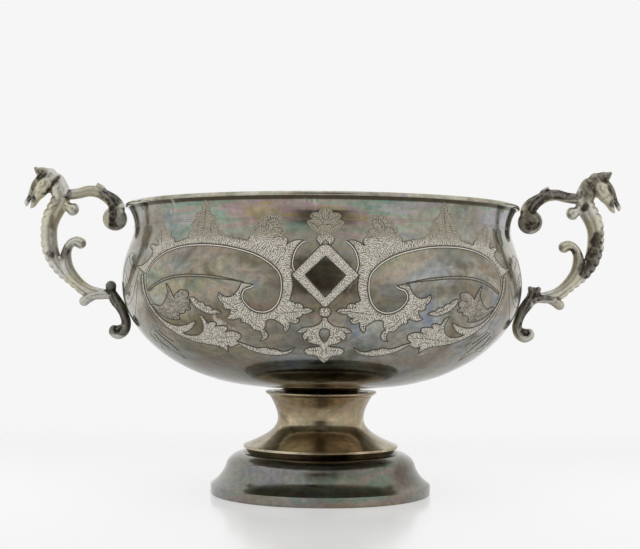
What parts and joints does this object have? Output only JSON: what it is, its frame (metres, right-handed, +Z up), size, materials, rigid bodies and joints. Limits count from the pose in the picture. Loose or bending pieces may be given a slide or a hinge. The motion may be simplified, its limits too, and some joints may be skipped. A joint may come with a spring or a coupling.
{
  "type": "footed brandy bowl",
  "caption": "Footed silver brandy bowl with an everted rim, a waisted stem on a stepped foot, and cast scroll handles that end in horse heads.",
  "frame": {"origin": "centre of the foot, on the surface that the bowl stands on", "axes": "+Z up through the bowl's centre; +X out through the middle of one handle; +Y to the bowl's plain back"},
  "size_m": [0.239, 0.1588, 0.1291],
  "materials": {
    "bowl_silver": "tarnished polished silver, engraved",
    "stem_silver": "tarnished polished silver",
    "foot_silver": "tarnished polished silver, darker than the bowl",
    "pale_casting": "cast silver with a dull pale skin",
    "oxidised_casting": "cast silver, dark with oxidation in patches"
  },
  "bodies": {
    "root": {"foot_wire": "foot_silver", "foot_dome": "foot_silver", "stem": "stem_silver", "collar_disc": "stem_silver", "bowl_socket": "stem_silver", "bowl_shell": "bowl_silver", "rim_wire": "bowl_silver", "right_bowl_bracket": "oxidised_casting", "right_horse_body": "pale_casting", "right_thumb_scroll": "pale_casting", "right_rim_arm": "oxidised_casting", "left_bowl_bracket": "oxidised_casting", "left_horse_body": "pale_casting", "left_thumb_scroll": "pale_casting", "left_rim_arm": "oxidised_casting"}
  },
  "joints": []
}
